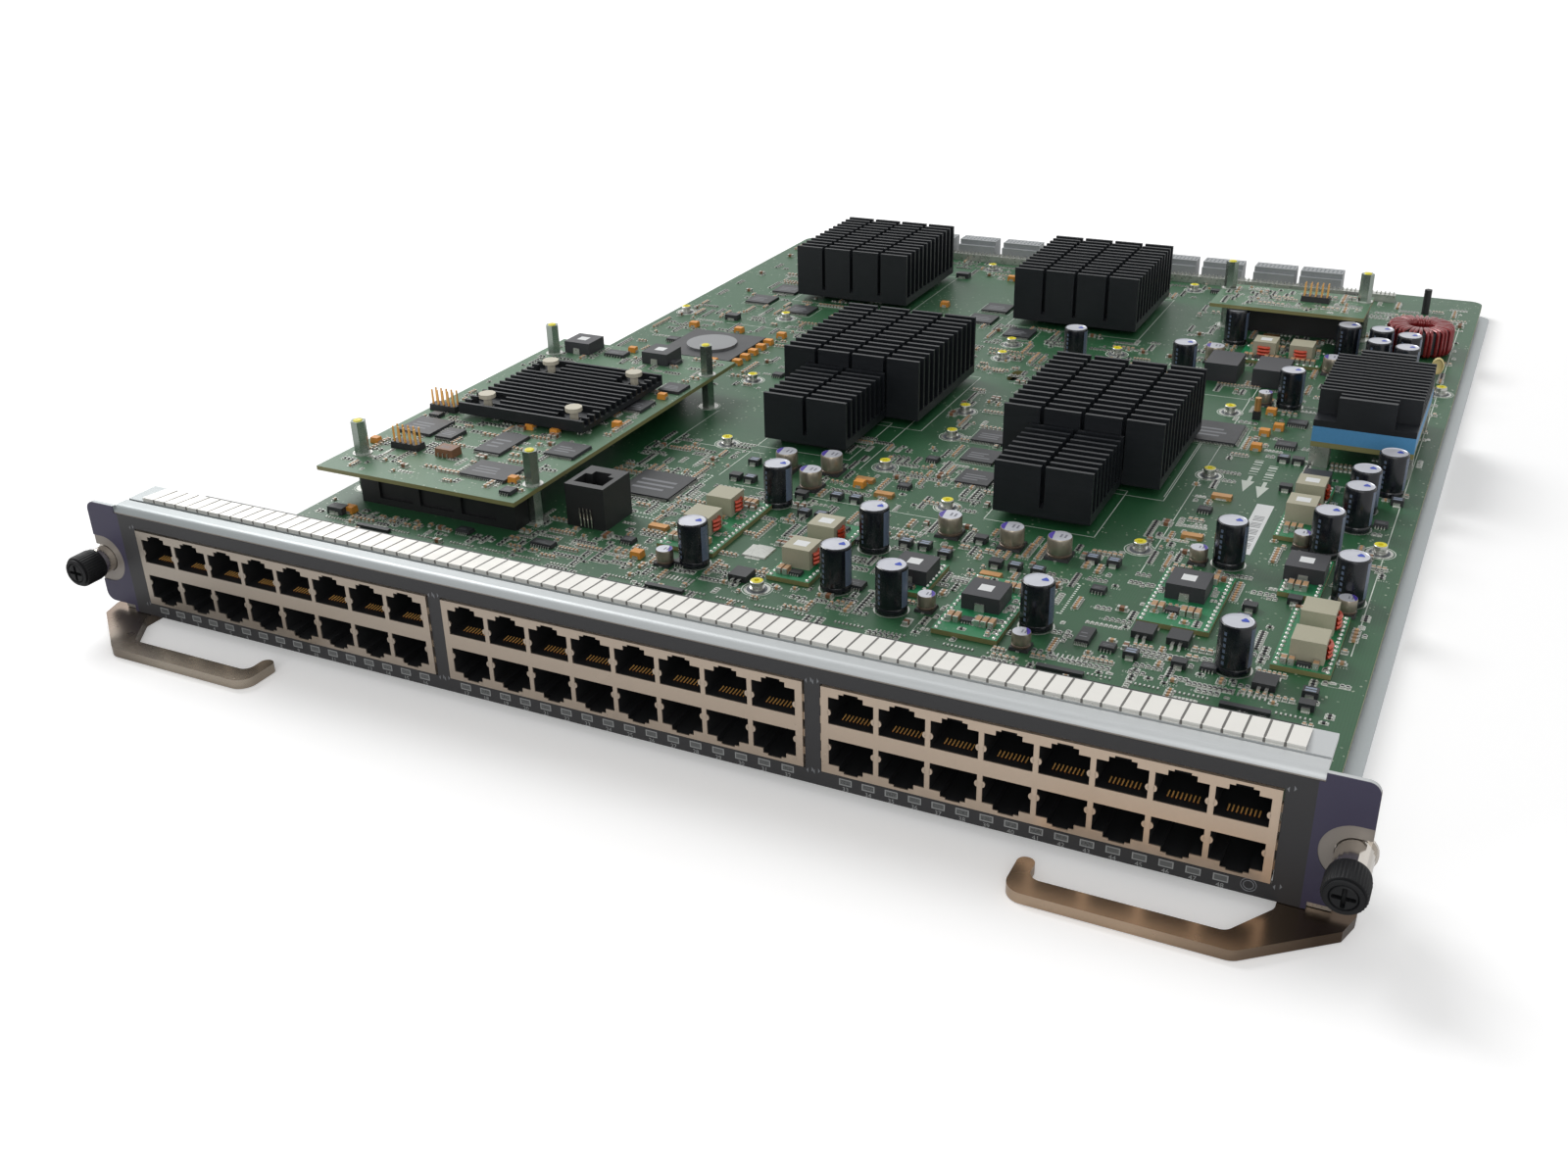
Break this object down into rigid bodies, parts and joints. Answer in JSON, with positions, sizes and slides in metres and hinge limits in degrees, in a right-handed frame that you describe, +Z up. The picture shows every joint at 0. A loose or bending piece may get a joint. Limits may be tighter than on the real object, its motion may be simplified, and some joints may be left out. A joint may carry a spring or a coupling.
{
  "type": "switch line card",
  "caption": "Line card for a modular network switch: a populated circuit board on a steel tray behind a front panel of RJ45 ports, with ejector levers and captive thumbscrews.",
  "frame": {"origin": "on the underside of the tray, below the middle of the main board", "axes": "+X to the right along the front panel, +Y from the front panel back to the backplane plugs, +Z up from the tray to the heatsinks"},
  "size_m": [0.3982, 0.5375, 0.0419],
  "materials": {
    "tray_steel": "satin",
    "board_laminate": "solder mask",
    "fibreglass": "solder mask",
    "panel_aluminium": "satin",
    "dark_film": "matte print",
    "shield_tin": "satin",
    "spring_metal": "bright",
    "black_plastic": "matte",
    "clear_plastic": "frosted",
    "nickel": "warm satin",
    "steel": "satin",
    "black_anodised": "black anodised",
    "chip_epoxy": "matte",
    "bright_lid": "satin",
    "white_plastic": "matte",
    "can_aluminium": "sleeved",
    "ferrite_beige": "matte",
    "ferrite_black": "matte",
    "red_winding": "varnish",
    "blue_plastic": "matte",
    "connector_cream": "matte",
    "brass_gold": "bright"
  },
  "bodies": {
    "card": {"tray": "tray_steel", "board_spacers": "steel", "main_board": "board_laminate", "board_screws": "steel", "front_panel": "panel_aluminium", "panel_film": "dark_film", "light_guides": "clear_plastic", "gasket_strips": "spring_metal", "jack_shield_left": "shield_tin", "jack_shield_middle": "shield_tin", "jack_shield_right": "shield_tin", "jack_housing_left": "black_plastic", "jack_housing_middle": "black_plastic", "jack_housing_right": "black_plastic", "end_bracket_left": "steel", "end_bracket_right": "steel", "lever_pivots": "steel", "thumbscrew_ferrule_left": "nickel", "thumbscrew_ferrule_right": "nickel", "heatsink_rear_left": "black_anodised", "heatsink_rear_right": "black_anodised", "heatsink_centre_left": "black_anodised", "heatsink_centre_right": "black_anodised", "small_heatsink_left": "black_anodised", "small_heatsink_right": "black_anodised", "heatsink_chips": "chip_epoxy", "flat_chips": "chip_epoxy", "processor": "chip_epoxy", "processor_lid": "bright_lid", "power_transistors": "chip_epoxy", "diode_packages": "chip_epoxy", "mezzanine_board": "fibreglass", "mezzanine_heatsink": "black_anodised", "push_pins": "white_plastic", "pin_headers": "ferrite_black", "electrolytic_cans": "can_aluminium", "polymer_capacitors": "can_aluminium", "power_module_boards": "fibreglass", "beige_chokes": "ferrite_beige", "flat_chokes": "ferrite_black", "black_power_modules": "ferrite_black", "console_jack": "black_plastic", "toroid_choke": "red_winding", "test_post": "ferrite_black", "brick_feet": "nickel", "brick_board": "fibreglass", "brick_frame": "blue_plastic", "brick_heatsink": "black_anodised", "daughter_board": "fibreglass", "hex_spacers": "nickel", "stacking_connectors": "black_plastic", "backplane_plugs": "connector_cream", "pin_rails": "brass_gold"},
    "lever_left": {"ejector_lever_left": "nickel"},
    "lever_right": {"ejector_lever_right": "nickel"},
    "carrier_left": {"retaining_clip_left": "steel"},
    "carrier_right": {"retaining_clip_right": "steel"},
    "screw_left": {"thumbscrew_left": "black_plastic"},
    "screw_right": {"thumbscrew_right": "black_plastic"}
  },
  "joints": [
    {"name": "lever_left_hinge", "type": "hinge", "parent": "card", "child": "lever_left", "pos_m": [-0.186, -0.251, 0], "axis": [0, 0, -1], "range_deg": [0, 80]},
    {"name": "lever_right_hinge", "type": "hinge", "parent": "card", "child": "lever_right", "pos_m": [0.186, -0.251, 0], "axis": [0, 0, 1], "range_deg": [0, 80]},
    {"name": "thumbscrew_left_slide", "type": "slide", "parent": "card", "child": "carrier_left", "axis": [0, 1, 0], "range_m": [-0.0042, 0.0003], "stiffness_N_per_m": 300},
    {"name": "thumbscrew_right_slide", "type": "slide", "parent": "card", "child": "carrier_right", "axis": [0, 1, 0], "range_m": [0, 0.0045], "stiffness_N_per_m": 300, "springref_m": -0.002},
    {"name": "thumbscrew_left_turn", "type": "hinge", "parent": "carrier_left", "child": "screw_left", "pos_m": [-0.194, -0.26, 0.021], "axis": [0, 1, 0], "continuous": true},
    {"name": "thumbscrew_right_turn", "type": "hinge", "parent": "carrier_right", "child": "screw_right", "pos_m": [0.194, -0.26, 0.021], "axis": [0, 1, 0], "continuous": true}
  ]
}
